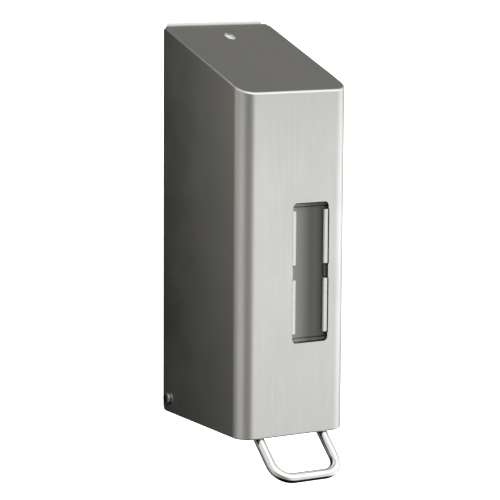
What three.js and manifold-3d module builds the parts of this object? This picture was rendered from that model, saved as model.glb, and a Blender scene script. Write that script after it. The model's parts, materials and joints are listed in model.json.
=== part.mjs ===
// Wall mounted soap dispenser: a folded steel hood hinged at the foot of a wall plate,
// a refill bottle with a bottom pump behind it, and a wire bail lever under the front.
// Millimetres. X is to the right, -Y faces the user, +Z is up.
// The parts are drawn with z = 0 at the hood's lower edge and y = 0 on the wall.
// The last lines lower them so that the origin is the middle of the wall plate's back.
import * as THREE from "three";
import { mergeVertices } from "three/addons/utils/BufferGeometryUtils.js";
import Module from "manifold-3d";

const wasm = await Module();
wasm.setup();

// ---- Driving dimensions -------------------------------------------------------------

const gap = 0.3; // air between pieces that touch
const looseGap = 0.4; // and between pieces that slide past each other
const sides = 24; // facets round a turned piece

const hood = {
  width: 82,
  depth: 108.4,
  standOff: 4, // rear edges to the wall
  rearHeight: 266.1,
  frontHeight: 229,
  sheet: 1,
  bend: 11.2, // outer radius of the two upright front bends
  ground: 1.5, // radius of the ground weld along the top front edge
  footCorner: 4, // lower rear corner of each side
  headCorner: 2.5, // upper rear corner of each side
  headCornerReach: 1.6, // how far that rounding reaches in from the side
};
hood.rear = -hood.standOff;
hood.front = -hood.standOff - hood.depth;
hood.fall = (hood.rearHeight - hood.frontHeight) / hood.depth; // the top's drop per mm forward

const view = { left: -2.3, right: 25, bottom: 61.8, top: 155.4, corner: 3 }; // window in the front
const pane = { setBack: 2.9, margin: 4.5, bottom: 56, top: 162, thickness: 1.5, corner: 3 };
const paneRib = { inset: 0.5, fromEnd: 0.8, width: 1.6, rise: 1.2 }; // across each end of the window
const paneGroove = { width: 0.8, depth: 0.9 }; // along the inner side of each rib
// Light strips along the pane's long edges, and the heights they run between on each side.
const strip = { setBack: 0.6, width: 2.7, thickness: 2, round: 0.25 };
const stripRuns = { lower: [68, 104], upper: [114, 150] };
const rebate = { depth: 0.8, clearance: 0.4 }; // widens the window beside each strip
const paneLug = { bottom: 105, top: 113, rise: 1.4 }; // fills the gap between a side's two strips
const keySlot = { y: -23, width: 6.4, length: 10.4 };

const hinge = { y: -11, z: 9.6, pinRadius: 2.5, holeRadius: 2.8, washerRadius: 6.5 };
const hingeDome = [[4.4, 0], [4.3, 0.8], [3.6, 1.4], [2.2, 1.7], [0, 1.8]]; // radius, height
const hingeTail = { radius: 3.8, thickness: 1.2 }; // closed head inside the wall plate's flange

const plate = {
  halfWidth: 37.5,
  thickness: 1.5,
  bottom: 2,
  top: 268,
  flangeDepth: 18,
  flangeTop: 240,
  screwHoleRadius: 2.75,
  footRound: 5, // lower front corner of each flange
  headRound: 8, // upper front corner of each flange
};
const wallScrews = [[-22, 24], [22, 24], [-22, 225], [22, 225]]; // x and z, as are the rivets below
const rivet = { radius: 1.6, holeRadius: 1.9, headRadius: 2.8, headHeight: 1.2 };
const latchRivets = [[-7, 243], [7, 243]];
const clipRivet = [0, 158];
const rivetSpots = [...latchRivets, clipRivet];

const shelf = { top: 60, thickness: 1.5, halfWidth: 30, front: -92, legBottom: 38, slotRadius: 14 };
const shelfScrew = { x: 20, z: 46, headRadius: 3.8, headHeight: 2.4, radius: 2, holeRadius: 2.3 };

const pumpY = -56; // the pump's upright axis
const bottle = {
  halfWidth: 33,
  rear: -10,
  front: -98,
  bottom: 60.3,
  top: 198,
  wall: 2,
  corner: 6,
  round: 3, // rounding of the upper and lower edges
  neckRadius: 17.5,
  neckTop: 212,
  neckBore: 15.5,
  outletRadius: 13,
  outletBottom: 50.8,
  outletBore: 10.5,
};
const filler = { radius: 20, bottom: 200, lid: 2.2, edge: 1 }; // the bottle's filler cap
const clip = { bottom: 150, top: 166, thickness: 1.1, reach: -70, bend: 3 };

const gasket = { bottom: 49.6, top: 50.5 };
const cylinder = { radius: 10, bore: 8, bottom: 18, top: 49.3, lip: 2.5, roof: 2, flangeRadius: 12.8 };
const port = { radius: 0.9, spread: 3.9, centreRadius: 2.5 }; // inlet ports round the valve's stem
const inlet = { radius: 5, stemRadius: 2.2, barbRadius: 3, tipRadius: 1.6, tip: 1.4 };
const stem = { foot: -2, radius: 5, bore: 1.8, collarRadius: 14, collarBottom: 6, collarTop: 8.5 };
const piston = { radius: 7.7, bottom: 21, top: 28, grooveRadius: 6.4, rim: 2 };
const pumpSpring = { radius: 6.6, wire: 0.55, turns: 5, top: 46.9 };
const outlet = { bore: 0.8, bottom: -4.6, top: -2.4 }; // valve at the foot of the nozzle
const nozzle = { radius: 5.5, bottom: -8, top: 5.5, bore: 4.3, mouth: 2.2, spigot: 4, taper: 3 };
const union = { radius: 17, bottom: 44, top: 58.2, lip: 2.5 };

const lever = {
  y: -90,
  z: 13.9,
  slant: THREE.MathUtils.degToRad(41.3), // the bail's fall below level
  pinRadius: 2.5,
  boreRadius: 2.7,
  tubeRadius: 6.5,
  tubeHalf: 29.5,
};
const bail = { radius: 3.4, halfSpacing: 24.4, start: 8.3, reach: 56.5, corner: 12.5 };
const socket = { radius: 5.1, bore: 3.7, start: 8, end: 18 };
const fork = { inner: 6.3, outer: 12.3, padRadius: 4, under: 3, over: 2.6 }; // x, then heights
const leverEar = { inner: 30, thickness: 1.5, rear: -82, top: 24, bottom: 5, baseTop: 40 };
const leverPinHalf = 34.5;
const retainer = { radius: 5, inner: 31.8, outer: 32.8 }; // ring at each end of the lever's pin

const latch = { y: -36, z: 243, pinRadius: 1.5, boreRadius: 1.8, boss: 4, bossHalf: 9.5 };
const latchPad = { half: 5.5, rear: -15.5, front: -30, drop: 0.5, bottom: 245.2 }; // seen in the slot
const latchNose = { half: 13.5, front: -20, rear: -15, bottom: 246, top: 251.5 };
const latchPinHalf = 12.6;
const latchEar = { inner: 10, thickness: 1.2, seat: 236, front: -42, rear: -30, top: 248, backTop: 249 };
const latchSpring = { y: -22, radius: 3, wire: 0.35, turns: 5, bottom: 237.5, top: 244.9 };
const strike = {
  tabRear: -12.9,
  tabFront: -13.9,
  tabBottom: 252,
  halfWidth: 14,
  footRear: -6,
  notchHalf: 7.5, // lets the latch's pad pass between the two tabs
  notchTop: 260.2,
};

// ---- Materials ----------------------------------------------------------------------

const finishes = {
  brushedSteel: { color: 0xd1d0ce, roughness: 0.34, metalness: 1 },
  polishedSteel: { color: 0xe2e2e0, roughness: 0.08, metalness: 1 },
  plainSteel: { color: 0xb9b9b6, roughness: 0.3, metalness: 1 },
  springSteel: { color: 0x9a9a98, roughness: 0.25, metalness: 1 },
  smokedPlastic: { color: 0x5f5e5a, roughness: 0.15, metalness: 0 },
  whitePlastic: { color: 0xf2f2ee, roughness: 0.4, metalness: 0 },
  naturalPlastic: { color: 0xe6e5dc, roughness: 0.45, metalness: 0 },
  greyPlastic: { color: 0x4a4b4c, roughness: 0.5, metalness: 0 },
  rubber: { color: 0x2a2a2a, roughness: 0.8, metalness: 0 },
};

function named(name, geometry, finish) {
  const mesh = new THREE.Mesh(geometry, new THREE.MeshStandardMaterial(finishes[finish]));
  mesh.name = name;
  return mesh;
}

// ---- Joining and cutting ------------------------------------------------------------

function toSolid(geometry) {
  const bare = geometry.clone();
  bare.deleteAttribute("normal");
  bare.deleteAttribute("uv");
  const merged = mergeVertices(bare, 1e-4);
  return new wasm.Manifold(
    new wasm.Mesh({
      numProp: 3,
      vertProperties: new Float32Array(merged.attributes.position.array),
      triVerts: new Uint32Array(merged.index.array),
    }),
  );
}

function toGeometry(solid) {
  const mesh = solid.getMesh();
  const geometry = new THREE.BufferGeometry();
  geometry.setAttribute("position", new THREE.BufferAttribute(mesh.vertProperties, 3));
  geometry.setIndex(new THREE.BufferAttribute(mesh.triVerts, 1));
  return geometry;
}

const combine = (method) => (first, ...others) =>
  toGeometry(others.reduce((solid, other) => solid[method](toSolid(other)), toSolid(first)));
const join = combine("add");
const cut = combine("subtract");
const common = combine("intersect");

// ---- Basic shapes -------------------------------------------------------------------

const axisX = new THREE.Vector3(1, 0, 0);
const axisY = new THREE.Vector3(0, 1, 0);
const axisZ = new THREE.Vector3(0, 0, 1);

function block([x0, x1], [y0, y1], [z0, z1]) {
  const box = new THREE.BoxGeometry(x1 - x0, y1 - y0, z1 - z0);
  return box.translate((x0 + x1) / 2, (y0 + y1) / 2, (z0 + z1) / 2);
}

// A closed outline through [u, v, radius] corners, each rounded by its radius.
function outline(corners) {
  const shape = new THREE.Shape();
  corners.forEach(([u, v, radius = 0], index) => {
    if (!radius) {
      if (index === 0) shape.moveTo(u, v);
      else shape.lineTo(u, v);
      return;
    }
    const corner = new THREE.Vector2(u, v);
    const before = corners[(index + corners.length - 1) % corners.length];
    const after = corners[(index + 1) % corners.length];
    const toBefore = new THREE.Vector2(before[0], before[1]).sub(corner).normalize();
    const toAfter = new THREE.Vector2(after[0], after[1]).sub(corner).normalize();
    const half = Math.acos(THREE.MathUtils.clamp(toBefore.dot(toAfter), -1, 1)) / 2;
    const setBack = radius / Math.tan(half);
    const start = corner.clone().addScaledVector(toBefore, setBack);
    const end = corner.clone().addScaledVector(toAfter, setBack);
    const inward = toBefore.clone().add(toAfter).normalize();
    const centre = corner.clone().addScaledVector(inward, radius / Math.sin(half));
    const clockwise = toBefore.cross(toAfter) > 0;
    const from = start.clone().sub(centre).angle();
    const to = end.clone().sub(centre).angle();
    if (index === 0) shape.moveTo(start.x, start.y);
    else shape.lineTo(start.x, start.y);
    shape.absarc(centre.x, centre.y, radius, from, to, clockwise);
  });
  shape.closePath();
  return shape;
}

const rectangle = (u0, u1, v0, v1, radius = 0) =>
  outline([[u0, v0, radius], [u1, v0, radius], [u1, v1, radius], [u0, v1, radius]]);

function extruded(shape, depth, smoothness, bevel) {
  const settings = { depth, curveSegments: smoothness, bevelEnabled: Boolean(bevel) };
  return new THREE.ExtrudeGeometry(shape, { ...settings, ...bevel });
}

// An outline drawn in (y, z), (x, z) or (x, y), pulled out along the third axis.
function alongX(shape, x0, x1, smoothness = 3) {
  const turn = new THREE.Matrix4().makeBasis(axisY, axisZ, axisX);
  return extruded(shape, x1 - x0, smoothness).applyMatrix4(turn).translate(x0, 0, 0);
}
function alongY(shape, y0, y1, smoothness = 3) {
  return extruded(shape, y1 - y0, smoothness).rotateX(Math.PI / 2).translate(0, y1, 0);
}
function alongZ(shape, z0, z1, smoothness = 3) {
  return extruded(shape, z1 - z0, smoothness).translate(0, 0, z0);
}

// A round bar from low to high along one axis.
function bar(radius, axis, low, high, [u, v] = [0, 0], facets = sides) {
  const round = new THREE.CylinderGeometry(radius, radius, high - low, facets);
  round.translate(0, (low + high) / 2, 0);
  if (axis === "x") return round.rotateZ(-Math.PI / 2).translate(0, u, v);
  if (axis === "y") return round.translate(u, 0, v);
  return round.rotateX(Math.PI / 2).translate(u, v, 0);
}

// A turned piece about Z from [radius, z] points that start and end on the axis or close.
function turned(profile, facets = sides) {
  const points = profile.map(([radius, z]) => new THREE.Vector2(radius, z));
  return new THREE.LatheGeometry(points, facets).rotateX(Math.PI / 2);
}
const ring = (inner, outer, z0, z1, facets = sides) =>
  turned([[inner, z0], [outer, z0], [outer, z1], [inner, z1], [inner, z0]], facets);

function wire(curve, radius, steps, facets) {
  const section = new THREE.Shape();
  section.absarc(0, 0, radius, 0, 2 * Math.PI, false);
  return new THREE.ExtrudeGeometry(section, {
    steps,
    curveSegments: facets / 2,
    bevelEnabled: false,
    extrudePath: curve,
  });
}

class Helix extends THREE.Curve {
  constructor(radius, turns, z0, z1) {
    super();
    Object.assign(this, { radius, turns, z0, z1 });
  }
  getPoint(t, target = new THREE.Vector3()) {
    const angle = 2 * Math.PI * this.turns * t;
    const z = this.z0 + (this.z1 - this.z0) * t;
    return target.set(this.radius * Math.cos(angle), this.radius * Math.sin(angle), z);
  }
}
// A quarter turn in the XZ plane about a centre, from one angle to another.
class Bend extends THREE.Curve {
  constructor(x, z, radius, from, to) {
    super();
    Object.assign(this, { x, z, radius, from, to });
  }
  getPoint(t, target = new THREE.Vector3()) {
    const angle = THREE.MathUtils.lerp(this.from, this.to, t);
    const x = this.x + this.radius * Math.cos(angle);
    return target.set(x, 0, this.z + this.radius * Math.sin(angle));
  }
}

function coil(spring, bottom) {
  const { radius, turns, top } = spring;
  const path = new Helix(radius, turns, bottom + spring.wire, top - spring.wire);
  return wire(path, spring.wire, turns * 12, 6);
}

// ---- Hood ---------------------------------------------------------------------------

const topOf = (y) => hood.rearHeight + (y - hood.rear) * hood.fall; // outer top surface
const topSheet = hood.sheet * Math.hypot(1, hood.fall); // the top sheet measured upright
const underTop = (y) => topOf(y) - topSheet;

function hoodBody(inset) {
  const half = hood.width / 2 - inset;
  const front = hood.front + inset;
  const rear = inset ? hood.rear + hood.standOff : hood.rear;
  const bottom = inset ? -hood.standOff : 0;
  const lower = inset ? topSheet : 0;
  const bend = hood.bend - inset;
  const plan = outline([[-half, rear], [-half, front, bend], [half, front, bend], [half, rear]]);
  const side = outline([
    [front, bottom],
    [rear, bottom, inset ? 0 : hood.footCorner],
    [rear, topOf(rear) - lower],
    [front, topOf(front) - lower, inset ? 0 : hood.ground],
  ]);
  const tall = hood.rearHeight + hood.standOff;
  return common(alongZ(plan, bottom, tall, 8), alongX(side, -half, half));
}

// What rounding takes off the upper rear corner of each side.
function headCorners() {
  const { rear, headCorner, headCornerReach } = hood;
  const half = hood.width / 2;
  const head = topOf(rear);
  const kept = outline([
    [rear - 30, head - 30],
    [rear, head - 30],
    [rear, head, headCorner],
    [rear - 30, topOf(rear - 30)],
  ]);
  return [[-half - 1, headCornerReach - half], [half - headCornerReach, half + 1]].map((across) =>
    cut(
      block(across, [rear - 2 * headCorner, rear + 1], [head - 2 * headCorner, head + 1]),
      alongX(kept, across[0] - 1, across[1] + 1),
    ),
  );
}

// What widens the window beside each of its strips.
function stripRebates() {
  const { depth, clearance } = rebate;
  const through = [hood.front - 1, hood.front + hood.sheet + 1];
  return [view.left, view.right].flatMap((edge) =>
    Object.values(stripRuns).map(([low, high]) =>
      block([edge - depth, edge + depth], through, [low - clearance, high + clearance]),
    ),
  );
}

function hoodShell() {
  const window = rectangle(view.left, view.right, view.bottom, view.top, view.corner);
  const slot = rectangle(
    -keySlot.width / 2,
    keySlot.width / 2,
    keySlot.y - keySlot.length / 2,
    keySlot.y + keySlot.length / 2,
    keySlot.width / 2 - 0.01,
  );
  return cut(
    hoodBody(0),
    hoodBody(hood.sheet),
    alongY(window, hood.front - 1, hood.front + hood.sheet + 1),
    ...stripRebates(),
    alongZ(slot, underTop(hood.rear) - 20, hood.rearHeight + 1),
    bar(hinge.holeRadius, "x", -hood.width, hood.width, [hinge.y, hinge.z], 16),
    ...headCorners(),
  );
}

// From and to across the width, for what lies along one of the window's long edges.
function stripAcross(side) {
  const { width } = strip;
  return side < 0 ? [view.left, view.left + width] : [view.right - width, view.right];
}

function windowPane() {
  const front = hood.front + pane.setBack;
  const rear = front + pane.thickness;
  const left = view.left - pane.margin;
  const right = view.right + pane.margin;
  const plateShape = rectangle(left, right, pane.bottom, pane.top, pane.corner);
  const across = [view.left + paneRib.inset, view.right - paneRib.inset];
  const ribEdge = paneRib.fromEnd + paneRib.width;
  const inward = (from, to) => [
    [view.bottom + from, view.bottom + to],
    [view.top - to, view.top - from],
  ];
  const ribs = inward(paneRib.fromEnd, ribEdge).map((heights) =>
    block(across, [front - paneRib.rise, rear], heights),
  );
  const grooves = inward(ribEdge, ribEdge + paneGroove.width).map((heights) =>
    block(across, [front - 1, front + paneGroove.depth], heights),
  );
  const lugs = [-1, 1].map((side) =>
    block(stripAcross(side), [front - paneLug.rise, rear], [paneLug.bottom, paneLug.top]),
  );
  return cut(join(alongY(plateShape, front, rear, 2), ...ribs, ...lugs), ...grooves);
}

// A light strip in front of the pane, seen just inside the window's long edge.
function windowStrip(side, run) {
  const front = hood.front + strip.setBack;
  const section = rectangle(...stripAcross(side), front, front + strip.thickness, strip.round);
  return alongZ(section, ...run, 2);
}

function strikePlate() {
  const { tabRear, tabFront, tabBottom, footRear, halfWidth, notchHalf, notchTop } = strike;
  const foot = gap + hood.sheet; // underside of the plate's foot below the top sheet
  const angle = outline([
    [tabFront, tabBottom],
    [tabRear, tabBottom],
    [tabRear, underTop(tabRear) - foot],
    [footRear, underTop(footRear) - foot],
    [footRear, underTop(footRear) - gap],
    [tabFront, underTop(tabFront) - gap],
  ]);
  const notch = block(
    [-notchHalf, notchHalf],
    [tabFront - 1, tabRear + 1],
    [tabBottom - 1, notchTop],
  );
  return cut(alongX(angle, -halfWidth, halfWidth), notch);
}

function leverBracket() {
  const { inner, thickness, rear, top, bottom, baseTop } = leverEar;
  const outer = inner + thickness;
  const face = hood.front + hood.sheet + 0.4;
  const ear = outline([
    [face, bottom],
    [rear, bottom, 8],
    [rear, top, 8],
    [lever.y - 8, top + 8, 6],
    [face, baseTop],
  ]);
  const ears = [-outer, inner].map((x) => alongX(ear, x, x + thickness));
  const hole = bar(lever.boreRadius + 0.1, "x", -outer - 1, outer + 1, [lever.y, lever.z], 16);
  return cut(join(block([-outer, outer], [face, face + thickness], [bottom, baseTop]), ...ears), hole);
}

// ---- Wall unit ----------------------------------------------------------------------

const plateSeat = -plate.thickness - gap; // where pieces rest on the wall plate
const clipSeat = plateSeat - 0.1;

function wallPlate() {
  const { halfWidth, thickness, bottom, top, flangeDepth, flangeTop } = plate;
  const back = alongY(rectangle(-halfWidth, halfWidth, bottom, top, 2), -thickness, 0, 2);
  const root = -thickness / 2; // inside the back, so that the two join
  const flange = outline([
    [-flangeDepth, bottom, plate.footRound],
    [root, bottom],
    [root, flangeTop],
    [-flangeDepth, flangeTop, plate.headRound],
  ]);
  const flanges = [-halfWidth, halfWidth - thickness].map((x) => alongX(flange, x, x + thickness));
  const through = (radius, x, z) => bar(radius, "y", -5, 1, [x, z], 12);
  return cut(
    join(back, ...flanges),
    bar(hinge.holeRadius, "x", -halfWidth - 1, halfWidth + 1, [hinge.y, hinge.z], 16),
    ...wallScrews.map(([x, z]) => through(plate.screwHoleRadius, x, z)),
    ...[-shelfScrew.x, shelfScrew.x].map((x) => through(shelfScrew.holeRadius, x, shelfScrew.z)),
    ...rivetSpots.map(([x, z]) => through(rivet.holeRadius, x, z)),
  );
}

// A round headed fastener along Y, its head's seat at y = 0 and its shank running to +Y.
function fastener({ headRadius, headHeight, radius }, length) {
  const profile = [
    [0, 0],
    [headRadius * 0.6, 0],
    [headRadius, headHeight * 0.55],
    [headRadius, headHeight],
    [radius, headHeight],
    [radius, headHeight + length],
    [0, headHeight + length],
  ];
  return turned(profile, 12).rotateX(-Math.PI / 2).translate(0, -headHeight, 0);
}

// Domed rivet along +X from the hood's side inwards: dome, shank and closed inner head.
function hingePin() {
  const outside = hood.width / 2 + gap;
  const inside = plate.halfWidth - plate.thickness - gap;
  const tail = inside - hingeTail.thickness;
  const profile = [
    [0, tail],
    [hingeTail.radius, tail],
    [hingeTail.radius, inside],
    [hinge.pinRadius, inside],
    [hinge.pinRadius, outside],
    ...hingeDome.map(([radius, height]) => [radius, outside + height]),
  ];
  return turned(profile).rotateY(Math.PI / 2);
}

function hingeWasher() {
  const inside = plate.halfWidth + gap;
  const outside = hood.width / 2 - hood.sheet - gap;
  return ring(hinge.holeRadius, hinge.washerRadius, inside, outside).rotateY(Math.PI / 2);
}

function bottleShelf() {
  const { top, thickness, halfWidth, front, legBottom, slotRadius } = shelf;
  const rear = plateSeat;
  const profile = outline([
    [rear, legBottom],
    [rear, top],
    [front, top],
    [front, top - thickness],
    [rear - thickness, top - thickness],
    [rear - thickness, legBottom],
  ]);
  const slot = join(
    bar(slotRadius, "z", top - 5, top + 5, [0, pumpY], 32),
    block([-slotRadius, slotRadius], [front - 1, pumpY], [top - 5, top + 5]),
  );
  const holes = [-shelfScrew.x, shelfScrew.x].map((x) =>
    bar(shelfScrew.holeRadius, "y", rear - 5, rear + 5, [x, shelfScrew.z], 12),
  );
  return cut(alongX(profile, -halfWidth, halfWidth), slot, ...holes);
}

function bottleShape(inset) {
  const { halfWidth, rear, front, corner, round } = bottle;
  const shrink = inset + round;
  const half = halfWidth - shrink;
  const plan = rectangle(-half, half, front + shrink, rear - shrink, corner - shrink);
  const bevel = { bevelSize: round, bevelThickness: round, bevelSegments: 2 };
  const low = bottle.bottom + inset + round;
  const high = bottle.top - inset - round;
  return extruded(plan, high - low, 3, bevel).translate(0, 0, low);
}

function refillBottle() {
  const at = [0, pumpY];
  const { bottom, top, wall, neckRadius, neckTop, neckBore } = bottle;
  const { outletRadius, outletBottom, outletBore } = bottle;
  const outside = join(
    bottleShape(0),
    bar(neckRadius, "z", top - wall, neckTop, at, 32),
    bar(outletRadius, "z", outletBottom, bottom + wall, at, 32),
  );
  return cut(
    outside,
    bottleShape(wall),
    bar(neckBore, "z", top - 2 * wall, neckTop + 1, at, 32),
    bar(outletBore, "z", outletBottom - 1, bottom + 2 * wall, at, 32),
  );
}

function fillerCap() {
  const inside = bottle.neckRadius + gap;
  const under = bottle.neckTop + gap;
  const over = under + filler.lid;
  const profile = [
    [0, under],
    [inside, under],
    [inside, filler.bottom],
    [filler.radius, filler.bottom],
    [filler.radius, over - filler.edge],
    [filler.radius - filler.edge, over],
    [0, over],
  ];
  return turned(profile, 32);
}

function bottleClip() {
  const { bottom, top, thickness, reach, bend } = clip;
  const rear = clipSeat;
  const inner = bottle.halfWidth + gap;
  const outer = inner + thickness;
  const plan = outline([
    [-outer, rear, bend],
    [-outer, reach],
    [-inner, reach],
    [-inner, rear - thickness, bend - thickness],
    [inner, rear - thickness, bend - thickness],
    [inner, reach],
    [outer, reach],
    [outer, rear, bend],
  ]);
  const hole = bar(rivet.holeRadius, "y", rear - 5, rear + 5, clipRivet, 12);
  return cut(alongZ(plan, bottom, top, 2), hole);
}

function latchBracket() {
  const { inner, thickness, seat, front, rear, top, backTop } = latchEar;
  const outer = inner + thickness;
  const profile = outline([
    [plateSeat, seat],
    [plateSeat, backTop],
    [plateSeat - thickness, backTop],
    [plateSeat - thickness, seat + thickness],
    [front, seat + thickness],
    [front, seat],
  ]);
  const ear = rectangle(front, rear, seat + 0.5, top, 2);
  const ears = [-outer, inner].map((x) => alongX(ear, x, x + thickness));
  const pinHole = bar(latch.boreRadius, "x", -outer - 1, outer + 1, [latch.y, latch.z], 12);
  const rivetHoles = latchRivets.map((at) => bar(rivet.holeRadius, "y", -5, 0, at, 12));
  return cut(join(alongX(profile, -outer, outer), ...ears), pinHole, ...rivetHoles);
}

// ---- Latch: a sprung plastic rocker under the key slot -------------------------------

function latchBody() {
  const { half, rear, front, drop, bottom } = latchPad;
  const padTop = (y) => underTop(y) - drop;
  const root = latch.y - latch.boss / 2;
  const arm = outline([
    [root, latch.z - 3.4, 2],
    [latch.y + 5, latch.z - 3, 2],
    [latch.y + 9, bottom],
    [rear, bottom],
    [rear, padTop(rear), 1],
    [front, padTop(front), 1],
    [front - 3, latch.z + latch.boss, 2],
    [root, latch.z + latch.boss],
  ]);
  const nose = rectangle(latchNose.front, latchNose.rear, latchNose.bottom, latchNose.top, 1);
  const body = join(
    alongX(arm, -half, half, 2),
    bar(latch.boss, "x", -latch.bossHalf, latch.bossHalf, [latch.y, latch.z], 20),
    alongX(nose, -latchNose.half, latchNose.half, 2),
  );
  return cut(body, bar(latch.boreRadius, "x", -15, 15, [latch.y, latch.z], 12));
}

// ---- Pump ---------------------------------------------------------------------------

function unionNut() {
  const { radius, bottom, top, lip } = union;
  const bore = bottle.outletRadius + gap;
  const mouth = cylinder.radius + looseGap;
  return turned([
    [mouth, bottom],
    [radius, bottom],
    [radius, top],
    [bore, top],
    [bore, bottom + lip],
    [mouth, bottom + lip],
    [mouth, bottom],
  ]);
}

function pumpCylinder() {
  const { radius, bore, bottom, top, lip, flangeRadius } = cylinder;
  const flangeBottom = union.bottom + union.lip + gap;
  const roof = top - cylinder.roof;
  const mouth = stem.radius + looseGap;
  const body = turned([
    [mouth, bottom],
    [radius, bottom],
    [radius, flangeBottom],
    [flangeRadius, flangeBottom],
    [flangeRadius, top],
    [port.centreRadius, top],
    [port.centreRadius, roof],
    [bore, roof],
    [bore, bottom + lip],
    [mouth, bottom + lip],
    [mouth, bottom],
  ]);
  const ports = [0, 1, 2, 3].map((quarter) =>
    bar(port.radius, "z", roof - 1, top + 1, [0, port.spread], 8).rotateZ((quarter * Math.PI) / 2),
  );
  return cut(body, ...ports);
}

// A mushroom of rubber: its disc closes the ports from below and its barb holds above.
function inletValve() {
  const disc = cylinder.top - cylinder.roof - gap;
  const barb = cylinder.top + gap;
  const tip = cylinder.top + inlet.tip;
  const profile = [
    [0, disc - 1],
    [inlet.radius, disc - 0.5],
    [inlet.radius, disc],
    [inlet.stemRadius, disc],
    [inlet.stemRadius, barb],
    [inlet.barbRadius, barb],
    [inlet.tipRadius, tip],
    [0, tip],
  ];
  return turned(profile, 16);
}

const pumpGasket = () =>
  ring(bottle.outletBore, cylinder.flangeRadius, gasket.bottom, gasket.top);

function pumpStem() {
  const { foot, radius, bore, collarRadius, collarBottom, collarTop } = stem;
  const grooveBottom = piston.bottom + piston.rim;
  const grooveTop = piston.top - piston.rim;
  return turned([
    [bore, foot],
    [nozzle.spigot, foot],
    [nozzle.spigot, collarBottom],
    [collarRadius, collarBottom],
    [collarRadius, collarTop],
    [radius, collarTop],
    [radius, piston.bottom],
    [piston.radius, piston.bottom],
    [piston.radius, grooveBottom],
    [piston.grooveRadius, grooveBottom],
    [piston.grooveRadius, grooveTop],
    [piston.radius, grooveTop],
    [piston.radius, piston.top],
    [bore, piston.top],
    [bore, foot],
  ]);
}

function pistonSeal() {
  const low = piston.bottom + piston.rim + gap;
  const high = piston.top - piston.rim - gap;
  return ring(piston.grooveRadius + gap, cylinder.bore - 0.2, low, high);
}

const outletValve = () => ring(outlet.bore, nozzle.spigot, outlet.bottom, outlet.top, 16);

function spoutNozzle() {
  const { radius, bottom, top, bore, mouth, taper } = nozzle;
  return turned([
    [mouth, bottom],
    [radius - taper / 2, bottom],
    [radius, bottom + taper],
    [radius, top],
    [bore, top],
    [bore, bottom + taper],
    [mouth, bottom + taper],
    [mouth, bottom],
  ]);
}

// ---- Pins across X -------------------------------------------------------------------

const crossPin = ({ pinRadius, y, z }, half, facets) => bar(pinRadius, "x", -half, half, [y, z], facets);

const retainingRing = () =>
  ring(lever.pinRadius + gap, retainer.radius, retainer.inner, retainer.outer, 16).rotateY(Math.PI / 2);

// ---- Lever, drawn about its pivot ----------------------------------------------------

// Turns a piece drawn along -Z, with its bends in the XZ plane, into the bail's slant.
const slanted = (geometry) => geometry.rotateX(lever.slant - Math.PI / 2);

function rocker() {
  const tube = bar(lever.tubeRadius, "x", -lever.tubeHalf, lever.tubeHalf);
  const sockets = [-1, 1].map((side) =>
    slanted(bar(socket.radius, "z", -socket.end, 0, [side * bail.halfSpacing, 0], 20)),
  );
  const bores = [-1, 1].map((side) =>
    slanted(bar(socket.bore, "z", -socket.end - 1, -socket.start, [side * bail.halfSpacing, 0], 16)),
  );
  const pad = [pumpY - lever.y, stem.collarBottom - gap - fork.padRadius - lever.z];
  const low = pad[1] - fork.under;
  const high = pad[1] + fork.over;
  const web = outline([
    [-4, -4],
    [0, low, 3],
    [pad[0] / 2, low],
    [pad[0] / 2, high],
    [10, high, 2],
    [9, -2, 2],
    [0, 5],
  ]);
  const prong = rectangle(5, pad[0], low, high);
  const prongs = [-fork.outer, fork.inner].flatMap((x) => {
    const width = fork.outer - fork.inner;
    return [alongX(prong, x, x + width), bar(fork.padRadius, "x", x, x + width, pad, 20)];
  });
  const mouth = block([-fork.inner, fork.inner], [10, pad[0] + 9], [pad[1] - 9, pad[1] + 9]);
  const body = join(tube, alongX(web, -fork.outer, fork.outer), ...sockets, ...prongs);
  return cut(body, mouth, bar(lever.boreRadius, "x", -40, 40, [0, 0], 16), ...bores);
}

function bailWire() {
  const { radius, halfSpacing, start, reach, corner } = bail;
  const path = new THREE.CurvePath();
  const straight = ([x0, z0], [x1, z1]) =>
    path.add(new THREE.LineCurve3(new THREE.Vector3(x0, 0, z0), new THREE.Vector3(x1, 0, z1)));
  const legEnd = corner - reach;
  const inner = halfSpacing - corner;
  straight([-halfSpacing, -start], [-halfSpacing, legEnd]);
  path.add(new Bend(-inner, legEnd, corner, Math.PI, 1.5 * Math.PI));
  straight([-inner, -reach], [inner, -reach]);
  path.add(new Bend(inner, legEnd, corner, 1.5 * Math.PI, 2 * Math.PI));
  straight([halfSpacing, legEnd], [halfSpacing, -start]);
  return slanted(wire(path, radius, 44, 16));
}

// ---- Assembly -----------------------------------------------------------------------

function mirroredPair(name, makeGeometry, finish, [x, y, z] = [0, 0, 0]) {
  return [["left", -1], ["right", 1]].map(([word, side]) => {
    const mesh = named(`${name}_${word}`, makeGeometry(side), finish);
    mesh.position.set(side * x, y, z);
    return mesh;
  });
}
const towards = (make) => (side) => (side < 0 ? make().rotateZ(Math.PI) : make());

function group(position, ...meshes) {
  const holder = new THREE.Group();
  holder.position.set(...position);
  holder.add(...meshes);
  return holder;
}

const screwY = plateSeat - shelf.thickness - gap;
const latchRivetY = plateSeat - latchEar.thickness - gap;
const clipRivetY = clipSeat - clip.thickness - gap;
const shankOf = (y) => -y - 0.2; // a shank that stops just short of the wall

function placed(mesh, x, y, z) {
  mesh.position.set(x, y, z);
  return mesh;
}

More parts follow.
